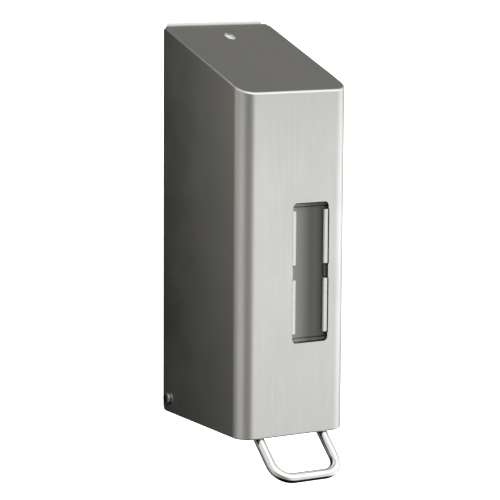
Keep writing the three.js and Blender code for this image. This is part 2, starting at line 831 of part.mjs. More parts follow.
const wallUnit = group(
  [0, 0, 0],
  named("wall_plate", wallPlate(), "plainSteel"),
  ...mirroredPair("hinge_pin", towards(hingePin), "polishedSteel", [0, hinge.y, hinge.z]),
  ...mirroredPair("hinge_washer", towards(hingeWasher), "whitePlastic", [0, hinge.y, hinge.z]),
  named("bottle_shelf", bottleShelf(), "plainSteel"),
  ...mirroredPair(
    "shelf_screw",
    () => fastener(shelfScrew, shankOf(screwY)),
    "plainSteel",
    [shelfScrew.x, screwY, shelfScrew.z],
  ),
  named("refill_bottle", refillBottle(), "naturalPlastic"),
  placed(named("filler_cap", fillerCap(), "greyPlastic"), 0, pumpY, 0),
  named("bottle_clip", bottleClip(), "springSteel"),
  placed(
    named("clip_rivet", fastener(rivet, shankOf(clipRivetY)), "plainSteel"),
    clipRivet[0],
    clipRivetY,
    clipRivet[1],
  ),
  named("latch_bracket", latchBracket(), "plainSteel"),
  ...mirroredPair(
    "latch_rivet",
    () => fastener(rivet, shankOf(latchRivetY)),
    "plainSteel",
    [latchRivets[1][0], latchRivetY, latchRivets[1][1]],
  ),
  named("latch_pin", crossPin(latch, latchPinHalf, 12), "plainSteel"),
  placed(named("latch_spring", coil(latchSpring, latchSpring.bottom), "springSteel"), 0, latchSpring.y, 0),
);

const pump = group(
  [0, pumpY, 0],
  named("pump_union_nut", unionNut(), "greyPlastic"),
  named("pump_gasket", pumpGasket(), "rubber"),
  named("pump_cylinder", pumpCylinder(), "whitePlastic"),
  named("inlet_valve", inletValve(), "rubber"),
  named("pump_spring", coil(pumpSpring, piston.top + gap), "springSteel"),
);

const plunger = group(
  [0, pumpY, 0],
  named("pump_stem", pumpStem(), "whitePlastic"),
  named("piston_seal", pistonSeal(), "rubber"),
  named("outlet_valve", outletValve(), "rubber"),
  named("spout_nozzle", spoutNozzle(), "greyPlastic"),
);

const hoodUnit = group(
  [0, 0, 0],
  named("hood_shell", hoodShell(), "brushedSteel"),
  named("window_pane", windowPane(), "smokedPlastic"),
  ...Object.entries(stripRuns).flatMap(([level, run]) =>
    mirroredPair(`window_strip_${level}`, (side) => windowStrip(side, run), "whitePlastic"),
  ),
  named("strike_plate", strikePlate(), "plainSteel"),
  named("lever_bracket", leverBracket(), "plainSteel"),
  named("lever_pivot_pin", crossPin(lever, leverPinHalf, 16), "plainSteel"),
  ...mirroredPair(
    "retaining_ring",
    towards(retainingRing),
    "springSteel",
    [0, lever.y, lever.z],
  ),
);

const leverUnit = group(
  [0, lever.y, lever.z],
  named("lever_rocker", rocker(), "greyPlastic"),
  named("bail_lever", bailWire(), "polishedSteel"),
);

const latchUnit = group([0, 0, 0], named("latch_body", latchBody(), "whitePlastic"));

const middle = (plate.bottom + plate.top) / 2;
const dispenser = group([0, 0, -middle], wallUnit, pump, plunger, hoodUnit, leverUnit, latchUnit);
dispenser.name = "wall_soap_dispenser";

export default dispenser;
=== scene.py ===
"""Studio picture of a wall mounted soap dispenser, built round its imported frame.

The pieces are drawn in millimetres with z = 0 at the hood's lower edge and y = 0 on the wall,
and at() turns such a point into the frame's metres. Every CAD node is replaced by a finer piece.
"""
import json
import math

import bmesh
import bpy
from mathutils import Matrix, Vector


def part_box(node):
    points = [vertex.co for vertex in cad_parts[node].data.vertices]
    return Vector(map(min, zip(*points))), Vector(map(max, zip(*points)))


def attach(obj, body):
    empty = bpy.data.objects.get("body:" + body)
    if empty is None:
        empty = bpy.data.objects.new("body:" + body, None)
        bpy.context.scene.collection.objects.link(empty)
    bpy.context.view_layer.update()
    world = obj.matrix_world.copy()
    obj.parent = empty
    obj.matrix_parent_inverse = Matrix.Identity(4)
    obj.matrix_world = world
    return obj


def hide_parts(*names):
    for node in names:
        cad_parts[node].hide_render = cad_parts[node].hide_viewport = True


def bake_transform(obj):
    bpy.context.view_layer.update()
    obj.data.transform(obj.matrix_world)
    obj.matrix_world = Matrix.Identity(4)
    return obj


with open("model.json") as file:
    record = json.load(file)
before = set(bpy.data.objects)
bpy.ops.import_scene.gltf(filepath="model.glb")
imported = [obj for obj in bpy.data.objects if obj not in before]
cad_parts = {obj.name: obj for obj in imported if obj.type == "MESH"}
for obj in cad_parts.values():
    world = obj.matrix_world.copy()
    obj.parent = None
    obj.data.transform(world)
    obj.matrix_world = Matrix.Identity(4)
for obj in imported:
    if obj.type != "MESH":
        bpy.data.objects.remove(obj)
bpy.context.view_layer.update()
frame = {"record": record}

# ---- Driving dimensions in millimetres ----

MM = 0.001
TOUCH = 1e-5  # metres apart that count as touching
WELD = 1e-6  # metres within which a mesh's corners are merged
ON_AXIS = 1e-6  # radius below which a turned profile has reached its axis
THROUGH = 50.0  # half length of a tool that passes right through the hood
HOOD_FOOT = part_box("hood_shell")[0].z  # height of the hood's lower edge in the frame, in metres
GAP = 0.3  # air between pieces that touch

HALF_WIDTH = 41.0
REAR = -4.0  # the hood's rear edges, a little off the wall
FRONT = -112.4
REAR_HEIGHT = 266.1
FRONT_HEIGHT = 229.0
FALL = (REAR_HEIGHT - FRONT_HEIGHT) / (REAR - FRONT)  # the top's drop per mm forward
SHEET = 1.0
BEND = 11.2
GROUND_EDGE = 1.5  # ground weld round the front of the top
SIDE_EDGE = 0.55  # tighter edge along the sides of the top
FOOT_EDGE = 1.1  # rolled lower edge of the hood
CUT_EDGE = 0.18  # deburred cut edges of sheet metal
SHARP = math.radians(35)  # edges that turn further than this stay sharp in the shading
FLAT_AREA = 300.0  # the hood's faces above this area, in mm2, are shaded exactly flat
HEAD_CORNER = {"radius": 2.5, "reach": 1.6}  # upper rear corner of each side

WINDOW = {"left": -2.3, "right": 25.0, "bottom": 61.8, "top": 155.4, "corner": 3.0}
PANE = {"set_back": 2.9, "margin": 4.5, "bottom": 56.0, "top": 162.0, "thick": 1.5}
PANE_RIB = {"inset": 0.5, "from_end": 0.8, "width": 1.6, "rise": 1.2}
PANE_GROOVE = {"width": 0.8, "depth": 0.9}
PANE_LUG = {"bottom": 105.0, "top": 113.0, "rise": 1.4}
STRIP = {"set_back": 0.6, "width": 2.7, "thick": 2.0, "edge": 0.35}
STRIP_RUNS = {"lower": (68.0, 104.0), "upper": (114.0, 150.0)}
REBATE = {"depth": 0.5, "clearance": 0.4}  # widens the window beside each strip
FRONT_CUT = (FRONT - 2, FRONT + SHEET + 0.5)  # from and to, in depth, of what cuts the front
KEY_SLOT = {"y": -23.0, "width": 6.4, "length": 10.4}  # in the top
HINGE = {"y": -11.0, "z": 9.6, "pin": 2.5, "hole": 2.8}
HEAD = {"radius": 4.4, "rim": 0.3, "rise": 1.5, "flatness": 0.5}  # dome of the hinge pins

PLATE = {"half": 37.5, "thick": 1.5, "bottom": 2.0, "top": 268.0, "depth": 18.0, "shoulder": 240.0}
WALL_SCREWS = [(side * 22.0, z) for z in (24.0, 225.0) for side in (-1, 1)]
SHELF_SCREWS = {side: (side * 20.0, 46.0) for side in (-1, 1)}
LATCH_RIVETS = {side: (side * 7.0, 243.0) for side in (-1, 1)}
CLIP_RIVET = (0.0, 158.0)
HOLE = {"wall": 2.75, "screw": 2.3, "rivet": 1.9}  # radii
SCREW = {"head": 3.8, "height": 2.4, "shank": 2.0, "recess": 2.0}
RIVET = {"head": 2.8, "height": 1.2, "shank": 1.6}
RIVET_SEAT = -3.3
SHELF = {"top": 60.0, "thick": 1.5, "half": 30.0, "front": -92.0, "foot": 38.0, "slot": 14.0}

PUMP_Y = -56.0
BOTTLE = {"half": 33.0, "rear": -10.0, "front": -98.0, "bottom": 60.3, "top": 198.0}
BOTTLE_CORNER = 10.0  # its upright edges
BOTTLE_ROUND = 4.0  # its level edges
BOTTLE_WALL = 2.0
NECK = {"radius": 17.5, "bore": 15.5, "top": 212.0}
OUTLET = {"radius": 13.0, "bore": 10.5, "bottom": 50.8}

# The lever turns about its pin. Starts, ends and reaches are distances down the slant from there.
LEVER = {"y": -90.0, "z": 13.9, "pin": 2.5, "bore": 2.7, "slant": math.radians(41.3)}
BAIL = {"radius": 3.39, "half": 24.4, "start": 8.3, "reach": 56.5, "corner": 12.5}
SOCKET = {"radius": 5.1, "bore": 3.7, "start": 8.0, "end": 18.0}
FORK = {"inner": 6.3, "outer": 12.3, "pad": 4.0}
LATCH = {"y": -36.0, "z": 243.0, "pin": 1.5, "drop": 0.15}
PUMP_SPRING = {"radius": 6.6, "wire": 0.55, "turns": 7, "low": 28.3, "high": 46.9}
LATCH_SPRING = {"radius": 3.0, "wire": 0.35, "turns": 6, "low": 237.5, "high": 244.9}


def at(point):
    x, y, z = point
    return Vector((x * MM, y * MM, z * MM + HOOD_FOOT))


def top_of(y):
    """Height of the top sheet's outer face."""
    return REAR_HEIGHT + (y - REAR) * FALL


def under_top(y):
    return top_of(y) - SHEET * math.hypot(1, FALL)


# ---- Outlines ------------------------


def corner_arc(tip, before, after, radius, steps):
    """The arc that rounds a corner whose edges leave its tip along two unit vectors."""
    half = before.angle(after) / 2
    centre = tip + (before + after).normalized() * (radius / math.sin(half))
    spoke = tip + before * (radius / math.tan(half)) - centre
    turn = math.pi - 2 * half
    if before.x * after.y - before.y * after.x > 0:
        turn = -turn
    return [centre + Matrix.Rotation(turn * k / steps, 2) @ spoke for k in range(steps + 1)]


def rounded(corners, closed=True, steps=6):
    """Points of an outline whose (u, v, radius) corners are rounded by their radius."""
    points = []
    for index, corner in enumerate(corners):
        tip = Vector(corner[:2])
        radius = corner[2] if len(corner) > 2 else 0
        is_end = not closed and index in (0, len(corners) - 1)
        if not radius or is_end:
            points.append(tip)
            continue
        before = (Vector(corners[index - 1][:2]) - tip).normalized()
        after = (Vector(corners[(index + 1) % len(corners)][:2]) - tip).normalized()
        points += corner_arc(tip, before, after, radius, steps)
    return points


def rectangle(u0, u1, v0, v1, radius=0, steps=6):
    corners = [(u0, v0, radius), (u1, v0, radius), (u1, v1, radius), (u0, v1, radius)]
    return rounded(corners, steps=steps)


def circle(u, v, radius, count):
    turns = [2 * math.pi * k / count for k in range(count)]
    return [Vector((u + radius * math.cos(a), v + radius * math.sin(a))) for a in turns]


def corner_waste(tip, along, across, radius):
    """What rounding takes off a corner whose edges leave along two directions."""
    tip, along, across = Vector(tip), Vector(along).normalized(), Vector(across).normalized()
    arc = corner_arc(tip, along, across, radius, steps=8)
    out = -(along + across)
    return arc + [arc[-1] + out, tip + out, arc[0] + out]


# ---- Meshes --------------------------


def new_object(name, verts, faces):
    mesh = bpy.data.meshes.new(name)
    mesh.from_pydata([at(v) for v in verts], [], faces)
    work = bmesh.new()
    work.from_mesh(mesh)
    bmesh.ops.remove_doubles(work, verts=work.verts, dist=WELD)
    bmesh.ops.recalc_face_normals(work, faces=work.faces)
    work.to_mesh(mesh)
    work.free()
    obj = bpy.data.objects.new(name, mesh)
    bpy.context.scene.collection.objects.link(obj)
    return obj


def loft(name, rings):
    """A skin over rings of equally many points, closed by flat ends."""
    count = len(rings[0])
    verts = [point for ring in rings for point in ring]
    faces = [tuple(range(count)), tuple(range(len(verts) - count, len(verts)))]
    for base in range(0, len(verts) - count, count):
        for k in range(count):
            after = (k + 1) % count
            faces.append((base + k, base + after, base + count + after, base + count + k))
    return new_object(name, verts, faces)


def bake_modifiers(obj):
    graph = bpy.context.evaluated_depsgraph_get()
    baked = bpy.data.meshes.new_from_object(obj.evaluated_get(graph))
    old = obj.data
    obj.modifiers.clear()
    obj.data = baked
    bpy.data.meshes.remove(old)
    return obj


def combine(obj, others, operation):
    for other in others:
        change = obj.modifiers.new("combine", "BOOLEAN")
        change.operation = operation
        change.solver = "EXACT"
        change.object = other
    bake_modifiers(obj)
    for other in others:
        bpy.data.objects.remove(other)
    return obj


def cut(obj, *others):
    return combine(obj, others, "DIFFERENCE")


def join(obj, *others):
    return combine(obj, others, "UNION")


def common(obj, *others):
    return combine(obj, others, "INTERSECT")


def shade(obj):
    """Smooth shading over curves, flat shading on flats."""
    obj.data.shade_smooth()
    obj.data.set_sharp_from_angle(angle=SHARP)
    weigh = obj.modifiers.new("weigh", "WEIGHTED_NORMAL")
    weigh.keep_sharp = True
    weigh.weight = 80
    return obj


def flatten_panels(obj, least):
    """Shades faces above an area, in mm2, exactly flat, also where a rounded edge ends on them."""
    bake_modifiers(obj)
    mesh = obj.data
    normals = [Vector(corner.vector) for corner in mesh.corner_normals]
    for face in mesh.polygons:
        if face.area > least * MM * MM:
            for corner in face.loop_indices:
                normals[corner] = face.normal
    mesh.normals_split_custom_set(normals)
    return obj


def soften(obj, width, segments=2, angle=50):
    """Rounds the edges that are sharper than the angle."""
    change = obj.modifiers.new("soften", "BEVEL")
    change.width = width * MM
    change.segments = segments
    change.limit_method = "ANGLE"
    change.angle_limit = math.radians(angle)
    change.use_clamp_overlap = True
    bake_modifiers(obj)
    return shade(obj)


# Where an outline's two values and its depth go, for a depth along X, Y or Z.
SPREAD = {
    "x": lambda u, v, w: (w, u, v),
    "y": lambda u, v, w: (u, w, v),
    "z": lambda u, v, w: (u, v, w),
}


def prism(axis, outline, low, high, name="tool"):
    spread = SPREAD[axis]
    return loft(name, [[spread(p.x, p.y, depth) for p in outline] for depth in (low, high)])


def block(x, y, z):
    return prism("z", rectangle(*x, *y), *z)


def rod(axis, radius, low, high, centre, count=40, name="tool"):
    return prism(axis, circle(*centre, radius, count), low, high, name=name)


def axle(pivot, radius, reach=THROUGH, count=40, name="tool"):
    """A rod along X through a pivot, as far to the left as to the right."""
    return rod("x", radius, -reach, reach, (pivot["y"], pivot["z"]), count, name)


def on_x(pivot):
    """Turns a piece made about Z to lie along +X through a pivot."""
    return Matrix.Translation((0, pivot["y"], pivot["z"])) @ Matrix.Rotation(math.pi / 2, 4, "Y")


def turned(name, profile, place, count=64, ribs=None):
    """A turned piece about Z from (radius, z) points. Poles close a profile that ends on Z.

    ribs = (how many, depth, lowest z, highest z) flutes the outer face for grip.
    """
    widest = max(point.x for point in profile)
    verts, rows = [], []
    for point in profile:
        if point.x < ON_AXIS:
            rows.append([len(verts)] * count)
            verts.append(place @ Vector((0, 0, point.y)))
            continue
        fluted = ribs and point.x > widest - 0.2 and ribs[2] < point.y < ribs[3]
        rows.append(list(range(len(verts), len(verts) + count)))
        for k in range(count):
            turn = 2 * math.pi * k / count
            radius = point.x
            if fluted:
                radius -= ribs[1] * (0.5 - 0.5 * math.cos(turn * ribs[0]))
            verts.append(
                place @ Vector((radius * math.cos(turn), radius * math.sin(turn), point.y))
            )
    faces = []
    is_ring = profile[0].x > ON_AXIS
    for row in range(len(rows) if is_ring else len(rows) - 1):
        low, high = rows[row], rows[(row + 1) % len(rows)]
        for k in range(count):
            after = (k + 1) % count
            loop = [low[k], low[after], high[after], high[k]]
            face = [v for i, v in enumerate(loop) if v != loop[i - 1]]
            if len(face) > 2:
                faces.append(tuple(face))
    return shade(new_object(name, verts, faces))


def ring(name, inner, outer, low, high, place, edge=0.2):
    corners = [(inner, low, edge), (outer, low, edge), (outer, high, edge), (inner, high, edge)]
    return turned(name, rounded(corners, steps=3), place, 48)


def tube(name, points, radius, count):
    """A round wire through points, its section carried along without twist."""
    rings = []
    section = circle(0, 0, radius, count)
    side = (points[1] - points[0]).orthogonal().normalized()
    for k, point in enumerate(points):
        ahead = points[min(k + 1, len(points) - 1)]
        behind = points[max(k - 1, 0)]
        tangent = (ahead - behind).normalized()
        side = (side - tangent * side.dot(tangent)).normalized()
        other = tangent.cross(side)
        rings.append([point + side * spoke.x + other * spoke.y for spoke in section])
    return shade(loft(name, rings))


def coil(name, centre, radius, wire, turns, low, high):
    """A compression spring whose end turns are closed."""
    closed = 2.1 * wire
    middle = high - low - 2 * wire - 2 * closed
    points = []
    steps_per_turn = 28
    steps = turns * steps_per_turn
    for k in range(steps + 1):
        turn = turns * k / steps
        if turn < 1:
            z = low + wire + closed * turn
        elif turn > turns - 1:
            z = high - wire - closed * (turns - turn)
        else:
            z = low + wire + closed + middle * (turn - 1) / (turns - 2)
        angle = 2 * math.pi * turn
        x = centre[0] + radius * math.cos(angle)
        points.append(Vector((x, centre[1] + radius * math.sin(angle), z)))
    return tube(name, points, wire, 12)


# ---- Materials -----------------------


def feed(tree, node, inputs):
    """Links each named or numbered input of a node, or gives it a constant value."""
    for name, value in inputs.items():
        if isinstance(value, bpy.types.NodeSocket):
            tree.links.new(value, node.inputs[name])
        else:
            node.inputs[name].default_value = value
    return node


def add_node(tree, kind, inputs=None):
    return feed(tree, tree.nodes.new(f"ShaderNode{kind}"), inputs or {})


def new_material(name):
    material = bpy.data.materials.new(name)
    material.use_nodes = True
    return material, material.node_tree, material.node_tree.nodes["Principled BSDF"]


def stretched_noise(tree, scale, size, detail=3.0, roughness=0.6):
    """Noise over the object's own coordinates, scaled along each axis."""
    coords = add_node(tree, "TexCoord").outputs["Object"]
    spot = add_node(tree, "Mapping", {"Vector": coords, "Scale": scale}).outputs["Vector"]
    inputs = {"Vector": spot, "Scale": size, "Detail": detail, "Roughness": roughness}
    return add_node(tree, "TexNoise", inputs).outputs["Fac"]


def axes_of(tree, kind):
    """The X, Y and Z of a kind of texture coordinate."""
    coords = add_node(tree, "TexCoord").outputs[kind]
    split = add_node(tree, "SeparateXYZ", {"Vector": coords})
    return [split.outputs[axis] for axis in "XYZ"]


def map_range(tree, source, before, after, interpolation="LINEAR"):
    """Carries a value from one range to another and holds it there beyond the ends."""
    names = ("From Min", "From Max", "To Min", "To Max")
    remap = add_node(tree, "MapRange", {"Value": source, **dict(zip(names, (*before, *after)))})
    remap.interpolation_type = interpolation
    return remap.outputs["Result"]


def ramp_of(tree, source, stops, interpolation="LINEAR"):
    """Colours over a 0 to 1 value from (place, colour) stops."""
    ramp = add_node(tree, "ValToRGB", {"Fac": source})
    ramp.color_ramp.interpolation = interpolation
    elements = ramp.color_ramp.elements
    while len(elements) < len(stops):
        elements.new(0.5)
    for element, (place, colour) in zip(elements, stops):
        element.position = place
        element.color = (*colour, 1)
    return ramp.outputs["Color"]


NOISE_MIDDLE = (0.3, 0.7)  # where most of a noise's values lie


def spread_value(tree, source, low, high):
    return map_range(tree, source, NOISE_MIDDLE, (low, high))


def spread_colour(tree, source, dark, light):
    return ramp_of(tree, source, list(zip(NOISE_MIDDLE, (dark, light))))


def bumps(tree, source, depth, strength):
    inputs = {"Height": source, "Distance": depth * MM, "Strength": strength}
    return add_node(tree, "Bump", inputs).outputs["Normal"]


def brushed_steel(name, grain, dark, light, rough):
    """Sheet with fine straight brush lines; grain is the stretch of the lines per axis."""
    material, tree, shader = new_material(name)
    lines = stretched_noise(tree, grain, 1.0, 4.0, 0.7)
    cloud = stretched_noise(tree, (1, 1, 1), 30.0, 2.0)
    feed(tree, shader, {
        "Metallic": 1,
        "Base Color": spread_colour(tree, lines, dark, light),
        "Roughness": spread_value(tree, cloud, *rough),
        "Normal": bumps(tree, lines, 0.004, 0.25),
    })
    return material


def plain_metal(name, dark, light, rough, size=400.0):
    material, tree, shader = new_material(name)
    spots = stretched_noise(tree, (1, 1, 1), size, 4.0, 0.65)
    cloud = stretched_noise(tree, (1, 1, 1), 60.0, 2.0)
    feed(tree, shader, {
        "Metallic": 1,
        "Base Color": spread_colour(tree, cloud, dark, light),
        "Roughness": spread_value(tree, spots, *rough),
        "Normal": bumps(tree, spots, 0.004, 0.2),
    })
    return material


def moulded(name, dark, light, rough, soft=0.0):
    """Moulded plastic or rubber with a fine eroded skin and slight flow marks."""
    material, tree, shader = new_material(name)
    skin = stretched_noise(tree, (1, 1, 1), 1500.0)
    flow = stretched_noise(tree, (1, 1, 0.3), 90.0, 2.0)
    feed(tree, shader, {
        "Base Color": spread_colour(tree, flow, dark, light),
        "Roughness": spread_value(tree, skin, *rough),
        "Normal": bumps(tree, skin, 0.01, 0.3),
        "Subsurface Weight": soft,
        "Subsurface Radius": (0.004, 0.004, 0.0035),
    })
    return material


# Painted light and shade on the pane: its brightness from the window's left edge, 0, to its right
# edge, 1.
PANE_PAINTED_SHADE = [
    (0.0, 0.36), (0.18, 0.29), (0.32, 0.225), (0.47, 0.135), (0.57, 0.095), (0.7, 0.1),
    (0.8, 0.072), (1.0, 0.06),
]
PANE_WARMTH = (1.0, 0.985, 0.95)


def smoked_pane():
    """Smoked plastic with painted shade across the pane, lighter at the left and darker towards the
    right.
    """
    material, tree, shader = new_material("smoked_pane")
    from_left = axes_of(tree, "Object")[0]
    edges = (WINDOW["left"] * MM, WINDOW["right"] * MM)
    across = map_range(tree, from_left, edges, (0, 1))
    # The ramp paints the window's shade into the pane's colour, darker to the right.
    stops = [(place, [value * tint for tint in PANE_WARMTH]) for place, value in PANE_PAINTED_SHADE]
    skin = stretched_noise(tree, (1, 1, 0.2), 300.0, 2.0)
    feed(tree, shader, {
        "Base Color": ramp_of(tree, across, stops),
        "Roughness": spread_value(tree, skin, 0.28, 0.38),
        "Normal": bumps(tree, skin, 0.01, 0.2),
    })
    return material


# ---- Putting pieces on the frame -----

BODIES = frame["record"]["behaviour"]["bodies"]
BODY_OF = {node: body for body, nodes in BODIES.items() for node in nodes}


def stands_for(piece, node, material):
    """The finer piece takes a CAD node's place and finish."""
    piece.name = f"{node}_fine"
    piece.data.name = piece.name
    piece.data.materials.clear()
    piece.data.materials.append(material)
    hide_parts(node)
    return piece


def placed(piece, node, material):
    """A finer piece that rides on its node's body."""
    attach(stands_for(piece, node, material), BODY_OF[node])
    return piece


def sprung(piece, node, material):
    """A spring between the wall unit and a moving body; it takes its node's place, fixed in the
    frame.
    """
    stands_for(bake_modifiers(piece), node, material)
    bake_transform(piece)


# ---- Hood ----------------------------


def hood_body(name, inset):
    """The hood's outer or inner body: an upright plan cut off by the sloping top."""
    half = HALF_WIDTH - inset
    front = FRONT + inset
    rear = 1.0 if inset else REAR
    foot = -1.0 if inset else 0.0
    height = under_top if inset else top_of
    bend = BEND - inset
    run = [front + bend + step for step in (8.0, 5.0, 2.5)]  # where the top's edge tightens
    corners = [(-half, rear), *[(-half, y) for y in run], (-half, front, bend)]
    corners += [(half, front, bend), *[(half, y) for y in reversed(run)], (half, rear)]
    plan = rounded(corners, steps=20)
    return loft(name, [[(p.x, p.y, foot) for p in plan], [(p.x, p.y, height(p.y)) for p in plan]])


def rim_weight(ends):
    """How much of the ground edge's rounding an edge of the hood's outer body gets."""
    if all(abs(end.z - HOOD_FOOT) < TOUCH for end in ends):
        return FOOT_EDGE / GROUND_EDGE
    is_upright = abs(ends[0].z - ends[1].z) > FRONT_HEIGHT / 2 * MM
    is_rear = all(abs(end.y - REAR * MM) < TOUCH for end in ends)
    if is_upright or is_rear:
        return 0.0
    ease = 8.0  # how far the edge takes to tighten behind the bend
    behind = (ends[0].y + ends[1].y) / 2 / MM - (FRONT + BEND)
    share = min(max(behind / ease, 0), 1)
    return 1 + (SIDE_EDGE / GROUND_EDGE - 1) * share


def round_rims(hood):
    """Rounds the rim of the top, full in front and tighter along the sides, and the foot."""
    weights = hood.data.attributes.new("bevel_weight_edge", "FLOAT", "EDGE")
    for edge in hood.data.edges:
        ends = [hood.data.vertices[k].co for k in edge.vertices]
        weights.data[edge.index].value = rim_weight(ends)
    change = hood.modifiers.new("rim", "BEVEL")
    change.limit_method = "WEIGHT"
    change.width = GROUND_EDGE * MM
    change.segments = 5
    change.use_clamp_overlap = False
    return bake_modifiers(hood)


def strip_rebates():
    """What widens the window beside each of its strips."""
    depth, clearance = REBATE["depth"], REBATE["clearance"]
    return [
        block((edge - depth, edge + depth), FRONT_CUT, (low - clearance, high + clearance))
        for edge in (WINDOW["left"], WINDOW["right"])
        for low, high in STRIP_RUNS.values()
    ]


def hood_shell():
    hood = round_rims(hood_body("hood", 0))
    y, half, reach = KEY_SLOT["y"], KEY_SLOT["width"] / 2, KEY_SLOT["length"] / 2
    slot = rectangle(-half, half, y - reach, y + reach, half - 0.01)
    edges = (WINDOW["left"], WINDOW["right"], WINDOW["bottom"], WINDOW["top"])
    window = rectangle(*edges, WINDOW["corner"], 8)
    foot = corner_waste((REAR, 0), (-1, 0), (0, 1), 4.0)
    cut(
        hood,
        hood_body("inner", SHEET),
        join(prism("y", window, *FRONT_CUT), *strip_rebates()),
        prism("z", slot, REAR_HEIGHT - 20, REAR_HEIGHT + 1),
        axle(HINGE, HINGE["hole"], count=32),
        prism("x", foot, -THROUGH, THROUGH),
        *[head_waste(side) for side in (-1, 1)],
    )
    return flatten_panels(soften(hood, CUT_EDGE, angle=60), FLAT_AREA)


def head_waste(side):
    """What rounding takes off the upper rear corner of one side."""
    waste = corner_waste((REAR, REAR_HEIGHT), (0, -1), (-1, -FALL), HEAD_CORNER["radius"])
    low, high = sorted((side * (HALF_WIDTH - HEAD_CORNER["reach"]), side * (HALF_WIDTH + 1)))
    return prism("x", waste, low, high)


def strip_across(side):
    """From and to across the width, for what lies along one of the window's long edges."""
    if side < 0:
        return WINDOW["left"], WINDOW["left"] + STRIP["width"]
    return WINDOW["right"] - STRIP["width"], WINDOW["right"]


def window_strip(side, run):
    front = FRONT + STRIP["set_back"]
    section = rectangle(*strip_across(side), front, front + STRIP["thick"], STRIP["edge"])
    return soften(prism("z", section, *run), 0.15)


def window_pane():
    front = FRONT + PANE["set_back"]
    rear = front + PANE["thick"]
    left, right = WINDOW["left"], WINDOW["right"]
    margin = PANE["margin"]
    plate = rectangle(left - margin, right + margin, PANE["bottom"], PANE["top"], 3.0)
    pane = prism("y", plate, front, rear)
    across = (left + PANE_RIB["inset"], right - PANE_RIB["inset"])
    rib_edge = PANE_RIB["from_end"] + PANE_RIB["width"]
    groove_edge = rib_edge + PANE_GROOVE["width"]

    def both_ends(near, far, depth):
        low, high = WINDOW["bottom"], WINDOW["top"]
        spans = ((low + near, low + far), (high - far, high - near))
        return [block(across, depth, span) for span in spans]

    ribs = both_ends(PANE_RIB["from_end"], rib_edge, (front - PANE_RIB["rise"], rear - 0.5))
    grooves = both_ends(rib_edge, groove_edge, (front - 1, front + PANE_GROOVE["depth"]))
    lug_depth = (front - PANE_LUG["rise"], rear - 0.5)
    lug_height = (PANE_LUG["bottom"], PANE_LUG["top"])
    lugs = [block(strip_across(side), lug_depth, lug_height) for side in (-1, 1)]
    return soften(cut(join(pane, *ribs, *lugs), *grooves), 0.2, 3)


def strike_plate():
    front, rear = -13.9, -12.9
    foot = GAP + SHEET
    angle = rounded([
        (front, 252.0), (rear, 252.0), (rear, under_top(rear) - foot, 0.6),
        (-6.0, under_top(-6.0) - foot), (-6.0, under_top(-6.0) - GAP),
        (front, under_top(front) - GAP, 1.4),
    ])
    plate = prism("x", angle, -14, 14)
    cut(plate, block((-7.5, 7.5), (front - 1, rear + 1), (251.0, 259.6)))
    return soften(plate, 0.15)


def lever_bracket():
    face = FRONT + SHEET + 0.4
    inner, outer, rear, foot, top = 30.0, 31.5, -82.0, 5.0, 40.0
    back = face + outer - inner
    channel = rounded([
        (-outer, rear), (-outer, face, 2.2), (outer, face, 2.2), (outer, rear), (inner, rear),
        (inner, back, 0.7), (-inner, back, 0.7), (-inner, rear),
    ])
    ear = rounded([
        (face - 1, foot), (rear, foot, 8), (rear, 24, 8), (LEVER["y"] - 8, 32, 6),
        (face + 1.4, top), (face - 1, top),
    ])
    bracket = prism("z", channel, foot, top)
    common(bracket, prism("x", ear, -THROUGH, THROUGH))
    cut(bracket, axle(LEVER, LEVER["pin"] + GAP))
    return soften(bracket, 0.2)


def lever_pivot_pin():
    radius, reach = LEVER["pin"], 34.5
    corners = [(0, -reach), (radius, -reach, 0.5), (radius, reach, 0.5), (0, reach)]
    return turned("pin", rounded(corners, False, 3), on_x(LEVER))


def retaining_ring(side, word):
    low, high = sorted((side * 31.8, side * 32.8))
    clip = ring(word, LEVER["pin"] + GAP, 5.0, low, high, on_x(LEVER))
    clip.modifiers.clear()
    depth = (LEVER["y"] - 1.2, LEVER["y"] + 1.2)
    mouth = block(sorted((side * 31, side * 33.5)), depth, (8.5, 12.0))
    return soften(cut(clip, mouth), 0.1)


# ---- Wall unit -----------------------


def wall_plate():
    half, thick, depth = PLATE["half"], PLATE["thick"], PLATE["depth"]
    channel = rounded([
        (-half, -depth), (-half, 0, 2.4), (half, 0, 2.4), (half, -depth), (half - thick, -depth),
        (half - thick, -thick, 0.9), (thick - half, -thick, 0.9), (thick - half, -depth),
    ])
    side = rounded([
        (1, PLATE["bottom"]), (1, PLATE["top"]), (-thick - 0.01, PLATE["top"]),
        (-thick - 0.01, PLATE["shoulder"] + 3, 2), (-thick - 1.5, PLATE["shoulder"], 1.2),
        (-depth, PLATE["shoulder"], 8), (-depth, PLATE["bottom"], 5),
    ])
    plate = prism("z", channel, PLATE["bottom"], PLATE["top"])
    common(plate, prism("x", side, -THROUGH, THROUGH))
    corners = [
        prism("y", corner_waste((out * half, PLATE["top"]), (-out, 0), (0, -1), 2.0), -2, 1)
        for out in (-1, 1)
    ]
    holes = [rod("y", HOLE["wall"], -3, 1, spot, 28) for spot in WALL_SCREWS]
    holes += [rod("y", HOLE["screw"], -3, 1, spot, 24) for spot in SHELF_SCREWS.values()]
    rivets = (*LATCH_RIVETS.values(), CLIP_RIVET)
    holes += [rod("y", HOLE["rivet"], -3, 1, spot, 20) for spot in rivets]
    cut(plate, axle(HINGE, HINGE["hole"], count=32), *corners, *holes)
    return soften(plate, CUT_EDGE)


